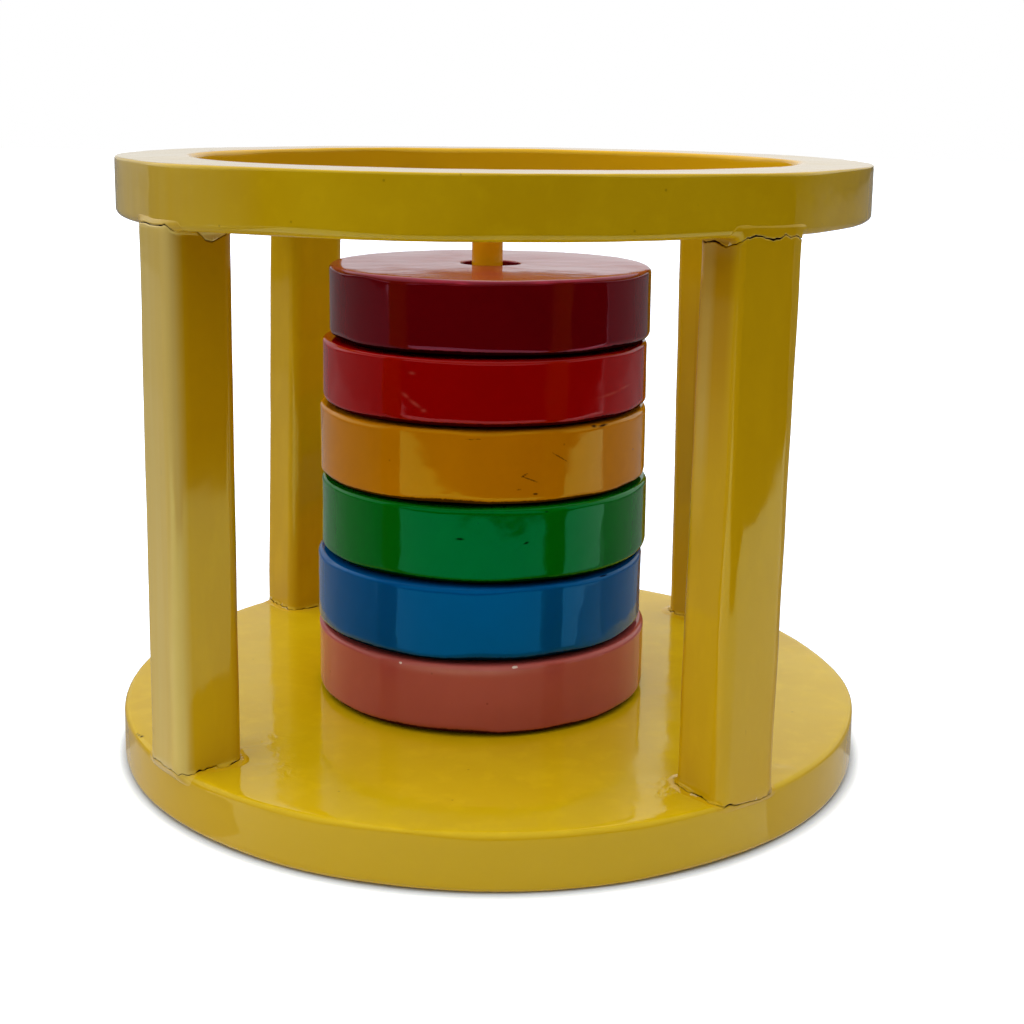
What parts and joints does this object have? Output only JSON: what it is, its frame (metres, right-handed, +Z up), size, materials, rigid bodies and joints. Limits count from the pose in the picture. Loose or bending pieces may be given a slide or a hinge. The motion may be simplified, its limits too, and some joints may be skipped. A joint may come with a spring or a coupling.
{
  "type": "disc stacking toy",
  "caption": "Round base and ring joined by square posts, with thick drilled discs stacked on a short centre peg; the discs lift off through the ring.",
  "frame": {"origin": "middle of the base's underside, on the surface that the toy stands on", "axes": "+Z up along the peg; -Y towards the side that the picture shows; +X to its right"},
  "size_m": [0.203, 0.203, 0.1615],
  "materials": {
    "yellow_lacquer": "gloss lacquer",
    "peg_lacquer": "gloss lacquer",
    "pink_lacquer": "gloss lacquer",
    "blue_lacquer": "gloss lacquer",
    "green_lacquer": "gloss lacquer",
    "orange_lacquer": "gloss lacquer",
    "red_lacquer": "gloss lacquer",
    "crimson_lacquer": "gloss lacquer",
    "bare_beech": "bare"
  },
  "bodies": {
    "stand": {"base_disc": "yellow_lacquer", "centre_peg": "peg_lacquer", "top_ring": "yellow_lacquer", "post_front_right": "yellow_lacquer", "post_back_right": "yellow_lacquer", "post_back_left": "yellow_lacquer", "post_front_left": "yellow_lacquer", "dowel_front_right_lower": "bare_beech", "dowel_back_right_lower": "bare_beech", "dowel_back_left_lower": "bare_beech", "dowel_front_left_lower": "bare_beech", "dowel_front_right_upper": "bare_beech", "dowel_back_right_upper": "bare_beech", "dowel_back_left_upper": "bare_beech", "dowel_front_left_upper": "bare_beech"},
    "disc_pink": {"disc_pink": "pink_lacquer"},
    "disc_blue": {"disc_blue": "blue_lacquer"},
    "disc_green": {"disc_green": "green_lacquer"},
    "disc_orange": {"disc_orange": "orange_lacquer"},
    "disc_red": {"disc_red": "red_lacquer"},
    "disc_crimson": {"disc_crimson": "crimson_lacquer"}
  },
  "joints": [
    {"name": "pink_lift", "type": "slide", "parent": "stand", "child": "disc_pink", "axis": [0, 0, 1], "range_m": [0, 0.157]},
    {"name": "blue_lift", "type": "slide", "parent": "disc_pink", "child": "disc_blue", "axis": [0, 0, 1], "range_m": [0, 0.1374]},
    {"name": "green_lift", "type": "slide", "parent": "disc_blue", "child": "disc_green", "axis": [0, 0, 1], "range_m": [0, 0.117]},
    {"name": "orange_lift", "type": "slide", "parent": "disc_green", "child": "disc_orange", "axis": [0, 0, 1], "range_m": [0, 0.0964]},
    {"name": "red_lift", "type": "slide", "parent": "disc_orange", "child": "disc_red", "axis": [0, 0, 1], "range_m": [0, 0.0764]},
    {"name": "crimson_lift", "type": "slide", "parent": "disc_red", "child": "disc_crimson", "axis": [0, 0, 1], "range_m": [0, 0.0584]}
  ]
}
